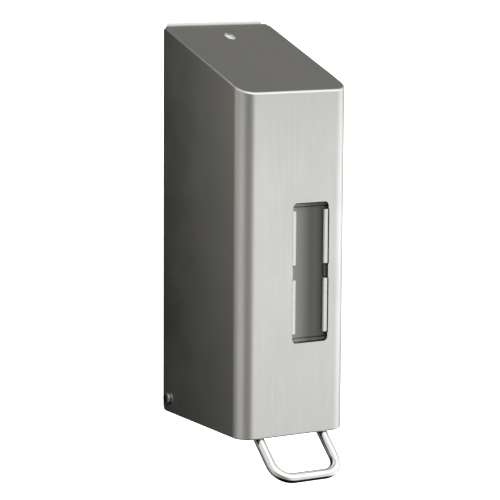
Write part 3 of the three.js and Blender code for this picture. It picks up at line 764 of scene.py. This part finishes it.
def hinge_pin(side, word):
    """Domed rivet from the hood's side to its closed head inside the plate's flange."""
    outside = HALF_WIDTH + GAP
    inside = PLATE["half"] - PLATE["thick"] - GAP
    radius, rim, rise, flatness = HEAD["radius"], HEAD["rim"], HEAD["rise"], HEAD["flatness"]
    closed, thick, edge, shank = 3.8, 1.2, 0.4, HINGE["pin"]
    profile = rounded([
        (0, inside - thick), (closed - edge, inside - thick), (closed, inside - thick + edge),
        (closed, inside), (shank, inside), (shank, outside), (radius, outside),
    ])
    for step in range(13):
        turn = math.pi / 2 * step / 12
        out = max(math.cos(turn), 0) ** flatness
        profile.append(Vector((radius * out, outside + rim + rise * math.sin(turn) ** flatness)))
    profile[-1].x = 0
    place = on_x(HINGE)
    if side < 0:
        place = Matrix.Scale(-1, 4, (1, 0, 0)) @ place
    return turned(word, profile, place, 48)


def hinge_washer(side, word):
    low, high = sorted((side * (PLATE["half"] + GAP), side * (HALF_WIDTH - SHEET - GAP)))
    return ring(word, HINGE["hole"], 6.5, low, high, on_x(HINGE))


def headed(name, spot, seat, head, height, shank, recess=None):
    """Round headed fastener into the wall plate, with a cross recess if it is a screw."""
    corners = [
        (0, seat - height), (head * 0.55, seat - height, 0.6), (head, seat - height * 0.45, 0.5),
        (head, seat, 0.1), (shank, seat), (shank, -0.2, 0.2), (0, -0.2),
    ]
    profile = [Vector((p.x, -p.y)) for p in rounded(corners, False, 4)]
    lie = Matrix.Translation((spot[0], 0, spot[1])) @ Matrix.Rotation(math.pi / 2, 4, "X")
    fastener = turned(name, profile, lie, 40)
    if recess:
        fastener.modifiers.clear()
        x, z = spot
        depth = (seat - height - 1, seat - height + 1.1)
        arms = ((recess, 0.4), (0.4, recess))
        cut(fastener, *[block((x - u, x + u), depth, (z - v, z + v)) for u, v in arms])
        shade(fastener)
    return fastener


def shelf_screw(side, word):
    seat = -PLATE["thick"] - GAP - SHELF["thick"] - GAP
    return headed(word, SHELF_SCREWS[side], seat, **SCREW)


def latch_rivet(side, word):
    return headed(word, LATCH_RIVETS[side], RIVET_SEAT, **RIVET)


def clip_rivet():
    return headed("rivet", CLIP_RIVET, RIVET_SEAT, **RIVET)


def bottle_shelf():
    rear = -PLATE["thick"] - GAP
    top, thick, half, front = SHELF["top"], SHELF["thick"], SHELF["half"], SHELF["front"]
    angle = rounded([
        (rear, SHELF["foot"]), (rear, top, 2.4), (front, top), (front, top - thick),
        (rear - thick, top - thick, 0.9), (rear - thick, SHELF["foot"]),
    ])
    shelf = prism("x", angle, -half, half)
    slot = SHELF["slot"]
    mouth = [(-slot - 3, front - 1), (-slot, front + 6, 6), (-slot, PUMP_Y), (slot, PUMP_Y)]
    mouth += [(slot, front + 6, 6), (slot + 3, front - 1)]
    spots = SHELF_SCREWS.values()
    cut(
        shelf,
        rod("z", slot, top - 5, top + 5, (0, PUMP_Y), 56),
        prism("z", rounded(mouth), top - 5, top + 5),
        *[rod("y", HOLE["screw"], rear - 3, rear + 1, spot, 24) for spot in spots],
    )
    return soften(shelf, CUT_EDGE)


def bottle_body(name, inset):
    """A blown bottle's outer or inner body, every edge rounded."""
    edge = BOTTLE_ROUND - inset / 2
    low, high = BOTTLE["bottom"] + inset, BOTTLE["top"] - inset
    turns = [math.pi / 2 * step / 6 for step in range(7)]
    levels = [(turn, low + edge * (1 - math.cos(turn))) for turn in turns]
    levels += [(turn, high - edge * (1 - math.cos(turn))) for turn in reversed(turns)]
    rings = []
    for turn, z in levels:
        shrink = inset + edge * (1 - math.sin(turn))
        half = BOTTLE["half"] - shrink
        corner = max(BOTTLE_CORNER - shrink, 0.5)
        front, rear = BOTTLE["front"] + shrink, BOTTLE["rear"] - shrink
        section = rectangle(-half, half, front, rear, corner, 8)
        rings.append([(p.x, p.y, z) for p in section])
    return loft(name, rings)


def refill_bottle():
    axis = (0, PUMP_Y)
    top, bottom, wall = BOTTLE["top"], BOTTLE["bottom"], BOTTLE_WALL
    bottle = bottle_body("bottle", 0)
    join(
        bottle,
        rod("z", NECK["radius"], top - wall, NECK["top"], axis, 64),
        rod("z", OUTLET["radius"], OUTLET["bottom"], bottom + wall, axis, 64),
    )
    cut(
        bottle,
        bottle_body("inside", wall),
        rod("z", NECK["bore"], top - 2 * wall, NECK["top"] + 1, axis, 64),
        rod("z", OUTLET["bore"], OUTLET["bottom"] - 1, bottom + 2 * wall, axis, 64),
    )
    return soften(bottle, 0.5, 3, 60)


# Puts a piece made about Z on the pump's axis.
ON_PUMP = Matrix.Translation((0, PUMP_Y, 0))


def filler_cap():
    inside = NECK["radius"] + GAP
    under = NECK["top"] + GAP
    low, over, radius = BOTTLE["top"] + 2, under + 2.2, 20.0
    corners = [
        (0, under), (inside, under, 0.4), (inside, low, 0.2), (radius, low, 0.4),
        (radius, low + 1.4), (radius, low + 1.8), (radius, over - 2.6), (radius, over - 2.2),
        (radius, over, 1.4), (15.5, over, 0.4), (15.0, over - 0.5, 0.3), (0, over - 0.5),
    ]
    grip = (60, 0.5, low + 1.5, over - 2.3)
    return turned("cap", rounded(corners, False, 4), ON_PUMP, 360, grip)


def bottle_clip():
    rear = -PLATE["thick"] - GAP - 0.1
    thick, reach = 1.1, -70.0
    inner = BOTTLE["half"] + GAP
    outer = inner + thick
    plan = rounded([
        (-outer, rear, 3), (-outer, reach, 0.4), (-inner, reach, 0.4), (-inner, rear - thick, 1.9),
        (inner, rear - thick, 1.9), (inner, reach, 0.4), (outer, reach, 0.4), (outer, rear, 3),
    ])
    low, high = 150.0, 166.0
    clip = prism("z", plan, low, high)
    ends = [
        prism("x", corner_waste((reach, z), (1, 0), (0, up), 4.0), -THROUGH, THROUGH)
        for z, up in ((low, 1), (high, -1))
    ]
    cut(clip, rod("y", HOLE["rivet"], rear - 5, rear + 5, CLIP_RIVET, 20), *ends)
    return soften(clip, 0.15)


def latch_bracket():
    back = -PLATE["thick"] - GAP
    thick, seat, front, rear = 1.2, 236.0, -42.0, -30.0
    inner, outer = 10.0, 11.2
    angle = rounded([
        (back, seat, 2.0), (back, 249), (back - thick, 249), (back - thick, seat + thick, 0.8),
        (front, seat + thick), (front, seat),
    ])
    bracket = prism("x", angle, -outer, outer)
    ear = rectangle(front, rear, seat + 0.2, 248, 2.5)
    join(bracket, *[prism("x", ear, *span) for span in ((-outer, -inner), (inner, outer))])
    cut(
        bracket,
        axle(LATCH, LATCH["pin"] + GAP, count=24),
        *[rod("y", HOLE["rivet"], -5, 0, spot, 20) for spot in LATCH_RIVETS.values()],
    )
    return soften(bracket, 0.15)


def latch_pin():
    radius, reach = LATCH["pin"], 12.6
    corners = [(0, -reach), (radius, -reach, 0.3), (radius, reach, 0.3), (0, reach)]
    return turned("pin", rounded(corners, False, 3), on_x(LATCH), 32)


def latch_spring():
    return coil("spring", (0, -22.0), **LATCH_SPRING)


def latch_body():
    y, z = LATCH["y"], LATCH["z"]
    pad = [(u, under_top(u) - LATCH["drop"], 1.0) for u in (-15.5, -30.0)]
    arm = rounded([
        (y - 2, z - 3.4, 2), (y + 5, z - 3, 2), (y + 9, 245.2), (-15.5, 245.2), *pad, (-33, 247, 2),
        (y - 2, 247),
    ])
    body = prism("x", arm, -5.5, 5.5)
    join(
        body,
        axle(LATCH, 4.0, 9.5),
        prism("x", rectangle(-20, -15, 246, 251.5, 1), -13.5, 13.5),
    )
    cut(body, axle(LATCH, LATCH["pin"] + GAP))
    return soften(body, 0.35, 3)


# ---- Pump ----------------------------


def pump_union_nut():
    mouth, radius, bottom, top = 10.4, 17.0, 44.0, 58.2
    bore = OUTLET["radius"] + GAP
    corners = [
        (mouth, bottom, 0.3), (radius, bottom, 0.8), (radius, bottom + 2.0), (radius, bottom + 2.4),
        (radius, top - 1.9), (radius, top - 1.5), (radius, top, 0.5), (bore, top, 0.3),
        (bore, bottom + 2.5, 0.4), (mouth, bottom + 2.5, 0.3),
    ]
    grip = (36, 0.7, bottom + 2.2, top - 1.7)
    return turned("nut", rounded(corners, steps=3), ON_PUMP, 288, grip)


def pump_gasket():
    return ring("gasket", OUTLET["bore"], 12.8, 49.6, 50.5, ON_PUMP)


def pump_cylinder():
    mouth, radius, bore, bottom, top = 5.4, 10.0, 8.0, 18.0, 49.3
    shoulder = 44.0 + 2.5 + GAP
    corners = [
        (mouth, bottom, 0.2), (radius, bottom, 0.6), (radius, shoulder, 0.5), (12.8, shoulder, 0.3),
        (12.8, top, 0.3), (2.5, top, 0.1), (2.5, top - 2, 0.1), (bore, top - 2, 0.4),
        (bore, bottom + 2.5, 0.3), (mouth, bottom + 2.5, 0.2),
    ]
    body = turned("cylinder", rounded(corners, steps=3), ON_PUMP, 64)
    body.modifiers.clear()
    ports = circle(0, PUMP_Y, 3.9, 4)
    return shade(cut(body, *[rod("z", 0.9, top - 4, top + 1, port, 20) for port in ports]))


def inlet_valve():
    disc, barb, tip = 47.0, 49.6, 50.7
    corners = [
        (0, disc - 1), (5, disc - 0.5, 0.2), (5, disc, 0.1), (2.2, disc, 0.2), (2.2, barb, 0.1),
        (3, barb, 0.2), (1.6, tip, 0.4), (0, tip),
    ]
    return turned("valve", rounded(corners, False, 3), ON_PUMP, 40)


def pump_spring():
    return coil("spring", (0, PUMP_Y), **PUMP_SPRING)


def pump_stem():
    bore, spigot, collar, radius, piston, groove = 1.8, 4.0, 14.0, 5.0, 7.7, 6.4
    corners = [
        (bore, -2), (spigot, -2, 0.3), (spigot, 6, 0.4), (collar, 6, 0.8), (collar, 8.5, 0.8),
        (radius, 8.5, 1.0), (radius, 21, 0.4), (piston, 21, 0.3), (piston, 23, 0.2),
        (groove, 23, 0.2), (groove, 26, 0.2), (piston, 26, 0.2), (piston, 28, 0.3), (bore, 28, 0.2),
    ]
    return turned("stem", rounded(corners, steps=3), ON_PUMP)


def piston_seal():
    return ring("seal", 6.7, 7.8, 23.3, 25.7, ON_PUMP)


def outlet_valve():
    return ring("valve", 0.8, 4.0, -4.6, -2.4, ON_PUMP, edge=0.3)


def spout_nozzle():
    corners = [
        (2.2, -8, 0.3), (4.0, -8, 0.5), (5.5, -5, 1.2), (5.5, 5.5, 0.6), (4.3, 5.5, 0.2),
        (4.3, -5, 0.3), (2.2, -5, 0.3),
    ]
    return turned("nozzle", rounded(corners, steps=4), ON_PUMP)


# ---- Lever ---------------------------

# Turns a shape drawn down -Z from the pivot into the bail's slant.
SLANT = Matrix.Translation((0, LEVER["y"], LEVER["z"])) @ Matrix.Rotation(
    LEVER["slant"] - math.pi / 2, 4, "X"
)


def slanted_rod(radius, low, high, x):
    section = rounded([(0, low), (radius, low), (radius, high), (0, high)])
    tool = turned("tool", section, SLANT @ Matrix.Translation((x, 0, 0)), 40)
    tool.modifiers.clear()
    return tool


def lever_rocker():
    y, z = LEVER["y"], LEVER["z"]
    pad_y, pad_z = PUMP_Y, 6.0 - GAP - FORK["pad"]
    low, high = pad_z - 3.0, pad_z + 2.6
    web = rounded([
        (y - 4, z - 4), (y, low, 3), ((y + pad_y) / 2, low), ((y + pad_y) / 2, high),
        (y + 10, high, 2), (y + 9, z - 2, 2), (y, z + 5),
    ])
    rocker = axle(LEVER, 6.5, 29.5, 56, "rocker")
    pieces = [prism("x", web, -FORK["outer"], FORK["outer"])]
    for side in (-1, 1):
        across = sorted((side * FORK["inner"], side * FORK["outer"]))
        pieces.append(slanted_rod(SOCKET["radius"], -SOCKET["end"], 0, side * BAIL["half"]))
        pieces.append(prism("x", rectangle(y + 5, pad_y, low, high), *across))
        pieces.append(rod("x", FORK["pad"], *across, (pad_y, pad_z)))
    join(rocker, *pieces)
    bores = [
        slanted_rod(SOCKET["bore"], -SOCKET["end"] - 1, -SOCKET["start"], side * BAIL["half"])
        for side in (-1, 1)
    ]
    mouth = block((-FORK["inner"], FORK["inner"]), (y + 10, pad_y + 9), (pad_z - 9, pad_z + 9))
    cut(rocker, mouth, axle(LEVER, LEVER["bore"]), *bores)
    return soften(rocker, 0.4, 3, 45)


def bail_lever():
    """The wire runs down a leg and round its corner, straight across, and back up as it came."""
    half, corner, start, reach = BAIL["half"], BAIL["corner"], BAIL["start"], BAIL["reach"]
    leg_end = corner - reach
    inner = half - corner
    left = [(-half, -start + (leg_end + start) * k / 8) for k in range(8)]
    for step in range(21):
        turn = math.pi * (1 + 0.5 * step / 20)
        left.append((-inner + corner * math.cos(turn), leg_end + corner * math.sin(turn)))
    across = [(-inner + 2 * inner * k / 8, -reach) for k in range(1, 8)]
    path = left + across + [(-x, z) for x, z in reversed(left)]
    return tube("bail", [SLANT @ Vector((x, 0, z)) for x, z in path], BAIL["radius"], 48)


# ---- Building the dispenser ----------

PALE = (0.70, 0.695, 0.682)
DIM = (0.62, 0.616, 0.605)
UPRIGHT_GRAIN = (5200.0, 5200.0, 40.0)
SLOPING_GRAIN = (1100.0, 140.0, 140.0)
SIDES = {"left": -1, "right": 1}


def brush_top_across(hood, material):
    """The brush lines run across the top, so its faces have a material of their own."""
    above_window = HOOD_FOOT + 200 * MM
    hood.data.materials.append(material)
    for face in hood.data.polygons:
        if face.normal.z > 0.6 and face.center.z > above_window:
            face.material_index = 1


def build_dispenser():
    """Makes every piece. The functions are named after the nodes that their pieces stand for."""
    upright = brushed_steel("brushed_upright", UPRIGHT_GRAIN, DIM, PALE, (0.2, 0.26))
    sloping = brushed_steel("brushed_sloping", SLOPING_GRAIN, DIM, PALE, (0.2, 0.26))
    polished = plain_metal(
        "polished_steel", (0.78, 0.78, 0.775), (0.84, 0.84, 0.83), (0.05, 0.09), 900.0
    )
    plain = plain_metal("plain_steel", (0.46, 0.46, 0.455), (0.56, 0.56, 0.55), (0.26, 0.38))
    # The wall plate's steel is painted much lighter than the hood's, a painted highlight along its
    # top edge.
    plate_steel_painted_highlight = plain_metal("steel_with_painted_highlight", (0.91, 0.91, 0.90), (0.96, 0.96, 0.95), (0.3, 0.4))
    burnished = plain_metal(
        "burnished_steel", (0.30, 0.30, 0.295), (0.36, 0.36, 0.355), (0.1, 0.15), 900.0
    )
    spring = plain_metal(
        "spring_steel", (0.36, 0.36, 0.355), (0.44, 0.44, 0.43), (0.2, 0.3), 1500.0
    )
    white = moulded("white_plastic", (0.80, 0.80, 0.785), (0.86, 0.86, 0.85), (0.3, 0.4), soft=0.2)
    clean = moulded("clean_white", (0.92, 0.92, 0.91), (0.95, 0.95, 0.945), (0.3, 0.4), soft=0.2)
    natural = moulded("natural_plastic", (0.72, 0.71, 0.67), (0.8, 0.79, 0.75), (0.38, 0.5), soft=0.4)
    grey = moulded("grey_plastic", (0.055, 0.057, 0.06), (0.075, 0.077, 0.08), (0.42, 0.55))
    rubber = moulded("rubber", (0.02, 0.02, 0.02), (0.03, 0.03, 0.03), (0.65, 0.8))

    brush_top_across(placed(hood_shell(), "hood_shell", upright), sloping)
    single = {
        window_pane: smoked_pane(),
        strike_plate: plain,
        lever_bracket: plain,
        lever_pivot_pin: plain,
        wall_plate: plate_steel_painted_highlight,
        bottle_shelf: plain,
        refill_bottle: natural,
        filler_cap: grey,
        bottle_clip: spring,
        clip_rivet: plain,
        latch_bracket: plain,
        latch_pin: plain,
        latch_body: clean,
        pump_union_nut: grey,
        pump_gasket: rubber,
        pump_cylinder: white,
        inlet_valve: rubber,
        pump_stem: white,
        piston_seal: rubber,
        outlet_valve: rubber,
        spout_nozzle: grey,
        lever_rocker: grey,
        bail_lever: polished,
    }
    for make, material in single.items():
        placed(make(), make.__name__, material)
    paired = {
        hinge_pin: burnished,
        hinge_washer: white,
        shelf_screw: plain,
        latch_rivet: plain,
        retaining_ring: spring,
    }
    for make, material in paired.items():
        for word, side in SIDES.items():
            placed(make(side, word), f"{make.__name__}_{word}", material)
    for level, run in STRIP_RUNS.items():
        for word, side in SIDES.items():
            placed(window_strip(side, run), f"window_strip_{level}_{word}", clean)
    sprung(pump_spring(), "pump_spring", spring)
    sprung(latch_spring(), "latch_spring", spring)


# ---- Studio --------------------------

FLOOR_DEPTH = 1.2  # the backdrop floor below the wall plate's middle, in metres
FLOOR_HALF = 60.0

# The photo's camera: metres, then degrees to the right, down and round, then millimetres.
CAMERA_PLACE = (-0.79196, -1.41914, 0.22373)
CAMERA_AIM = (30.085, 8.724, 0.373)
CAMERA_LENS = 169.42
CAMERA_SENSOR = 36.0


def add_camera():
    yaw, pitch, roll = (math.radians(angle) for angle in CAMERA_AIM)
    ahead = Vector(
        (math.sin(yaw) * math.cos(pitch), math.cos(yaw) * math.cos(pitch), -math.sin(pitch))
    )
    level = Vector((math.cos(yaw), -math.sin(yaw), 0))
    upright = level.cross(ahead)
    right = level * math.cos(roll) + upright * math.sin(roll)
    up = upright * math.cos(roll) - level * math.sin(roll)
    data = bpy.data.cameras.new("camera")
    data.lens = CAMERA_LENS
    data.sensor_width = CAMERA_SENSOR
    data.clip_end = 200.0
    camera = bpy.data.objects.new("camera", data)
    axes = Matrix((right, up, -ahead)).transposed().to_4x4()
    camera.matrix_world = Matrix.Translation(CAMERA_PLACE) @ axes
    bpy.context.scene.collection.objects.link(camera)
    bpy.context.scene.camera = camera


def panel(name, corners):
    """A flat four-cornered face of the studio."""
    mesh = bpy.data.meshes.new(name)
    mesh.from_pydata(corners, [], [(0, 1, 2, 3)])
    obj = bpy.data.objects.new(name, mesh)
    bpy.context.scene.collection.objects.link(obj)
    return obj


def add_floor():
    """A plain white sweep that only the camera sees, so that it casts no light of its own."""
    half = FLOOR_HALF
    corners = [(-half, -half), (half, -half), (half, half), (-half, half)]
    floor = panel("floor", [(x, y, -FLOOR_DEPTH) for x, y in corners])
    material, tree, shader = new_material("floor_white")
    feed(tree, shader, {
        "Base Color": (0.9, 0.9, 0.9, 1),
        "Roughness": 0.9,
        "Emission Color": (1, 1, 1, 1),
        "Emission Strength": 1.0,
    })
    floor.data.materials.append(material)
    for ray in ("glossy", "diffuse", "transmission", "shadow"):
        setattr(floor, f"visible_{ray}", False)


def light_ramp(tree, source, stops, reach=1.0):
    """A smooth brightness over a 0 to 1 value, warmer where it falls below 1."""
    colours = []
    for place, value in stops:
        share = min(max(1 - value, 0), 1)
        colours.append((place, [value / reach * (1 + (tint - 1) * share) for tint in WARMTH]))
    return ramp_of(tree, source, colours, "CARDINAL")


def math_node(tree, operation, first, second):
    node = add_node(tree, "Math", {0: first, 1: second})
    node.operation = operation
    return node.outputs["Value"]


def blend_colour(tree, share, first, second):
    mix = tree.nodes.new("ShaderNodeMix")
    mix.data_type = "RGBA"
    feed(tree, mix, {0: share, 6: first, 7: second})
    return mix.outputs[2]


# Brightness of the light tent by bearing, in degrees from the front towards the right, at the
# height of the object and overhead, and how the lower one fades with the sine of the elevation.
TENT_LEVEL = [
    (-180, 0.2), (-150, 0.06), (-126, 0.3), (-110, 0.56), (-88, 0.77), (-70, 0.76), (-57, 0.61),
    (-44, 0.45), (-30, 0.42), (-18, 0.47), (-6, 0.65), (4, 1.0), (14, 1.28), (40, 1.31), (57, 1.58),
    (78, 1.76), (96, 1.55), (115, 0.95), (129, 0.3), (145, 0.11), (180, 0.2),
]
TENT_OVER = [
    (-180, 0.8), (-143, 1.15), (-110, 1.0), (-75, 0.8), (-20, 1.35), (60, 1.4), (95, 0.8),
    (120, 0.28), (142, 0.22), (160, 0.21), (180, 0.8),
]
TENT_FALL = [
    (-1.0, 0.01), (-0.82, 0.012), (-0.66, 0.15), (-0.5, 0.7), (-0.36, 0.75), (-0.24, 0.56),
    (-0.13, 1.0), (-0.05, 0.42), (0.03, 0.36), (0.11, 1.0),
]
TENT_RISE = (0.2, 0.55)  # sines of elevation between which the overhead brightness takes over
TENT_RANGE = 2.0  # the ramps hold brightness over this range
WARMTH = (1.0, 0.985, 0.90)  # tint of the darker parts of the studio


def add_light_tent():
    """Soft light from all round, brighter in front and to the right, darker behind on the left."""
    world = bpy.data.worlds.new("light_tent")
    bpy.context.scene.world = world
    world.use_nodes = True
    tree = world.node_tree
    right, away, height = axes_of(tree, "Generated")
    forward = math_node(tree, "MULTIPLY", away, -1.0)
    bearing = math_node(tree, "ARCTAN2", right, forward)
    turn = map_range(tree, bearing, (-math.pi, math.pi), (0, 1))
    lift = map_range(tree, height, (-1, 1), (0, 1))

    def by_bearing(table):
        stops = [(degrees / 360 + 0.5, value) for degrees, value in table]
        return light_ramp(tree, turn, stops, TENT_RANGE)

    fall = light_ramp(tree, lift, [(sine / 2 + 0.5, value) for sine, value in TENT_FALL])
    lower = add_node(tree, "VectorMath", {0: by_bearing(TENT_LEVEL), 1: fall})
    lower.operation = "MULTIPLY"
    rise = map_range(tree, height, TENT_RISE, (0, 1), "SMOOTHSTEP")
    tent = blend_colour(tree, rise, lower.outputs["Vector"], by_bearing(TENT_OVER))
    is_seen = add_node(tree, "LightPath").outputs["Is Camera Ray"]
    white = 1 / TENT_RANGE
    colour = blend_colour(tree, is_seen, tent, (white, white, white, 1))
    feed(tree, tree.nodes["Background"], {"Color": colour, "Strength": TENT_RANGE})


# A reflector close to the object's left, in metres: it fades out towards the wall and downwards.
CARD_X = -0.25
CARD_Y = (1.3, -0.02)
CARD_Z = (-0.8, 0.9)
CARD_FADE_Y = (0.39, -0.02)
CARD_FADE_Z = (-0.42, 0.25)
CARD_GLOW = (0.012, 0.36)  # from the faded rear to the front
CARD_LIFT = (0.25, 2.0)  # from the faded foot to the top


def add_card():
    (rear, front), (low, high) = CARD_Y, CARD_Z
    corners = [(rear, low), (front, low), (front, high), (rear, high)]
    card = panel("reflector", [(CARD_X, y, z) for y, z in corners])
    card.visible_camera = False
    material, tree, shader = new_material("reflector")
    tree.nodes.remove(shader)
    _, away, height = axes_of(tree, "Object")
    along = map_range(tree, away, CARD_FADE_Y, CARD_GLOW)
    upward = map_range(tree, height, CARD_FADE_Z, CARD_LIFT)
    strength = math_node(tree, "MULTIPLY", along, upward)
    glow = add_node(tree, "Emission", {"Color": (*WARMTH, 1), "Strength": strength})
    feed(tree, tree.nodes["Material Output"], {"Surface": glow.outputs["Emission"]})
    card.data.materials.append(material)


def set_stage():
    view = bpy.context.scene.view_settings
    view.view_transform = "Standard"
    view.look = "None"
    add_camera()
    add_floor()
    add_light_tent()
    add_card()


build_dispenser()
set_stage()
